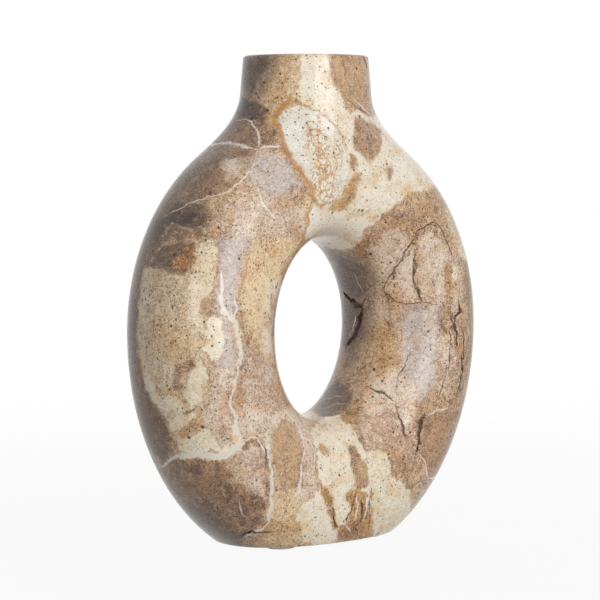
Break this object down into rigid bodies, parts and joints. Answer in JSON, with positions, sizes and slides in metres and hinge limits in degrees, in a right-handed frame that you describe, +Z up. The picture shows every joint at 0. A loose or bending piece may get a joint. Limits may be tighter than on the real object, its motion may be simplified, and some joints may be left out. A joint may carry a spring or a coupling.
{
  "type": "ring-shaped stone vase",
  "caption": "Upright ring-shaped vase carved from one block of brown and cream marble, with a short flared neck, a flat foot on felt pads and a lift-out liner cup for water and stems.",
  "frame": {"origin": "on the table top, under the middle of the foot, at the pads' undersides", "axes": "+Z up along the neck, +X to the right across the ring seen from the front, +Y from the front to the back through the ring's hole"},
  "size_m": [0.274, 0.1012, 0.332],
  "materials": {
    "polished_marble": "carved and polished, brown, tan and cream broken marble with white veins",
    "spun_steel": "spun stainless steel with fine turning lines",
    "felt": "pressed wool felt"
  },
  "bodies": {
    "stone": {"stone_body": "polished_marble", "felt_pad_front_left": "felt", "felt_pad_front_right": "felt", "felt_pad_back_left": "felt", "felt_pad_back_right": "felt"},
    "liner": {"liner_cup": "spun_steel"}
  },
  "joints": [
    {"name": "liner_lift", "type": "slide", "parent": "stone", "child": "liner", "axis": [0, 0, 1], "range_m": [0, 0.12]}
  ]
}
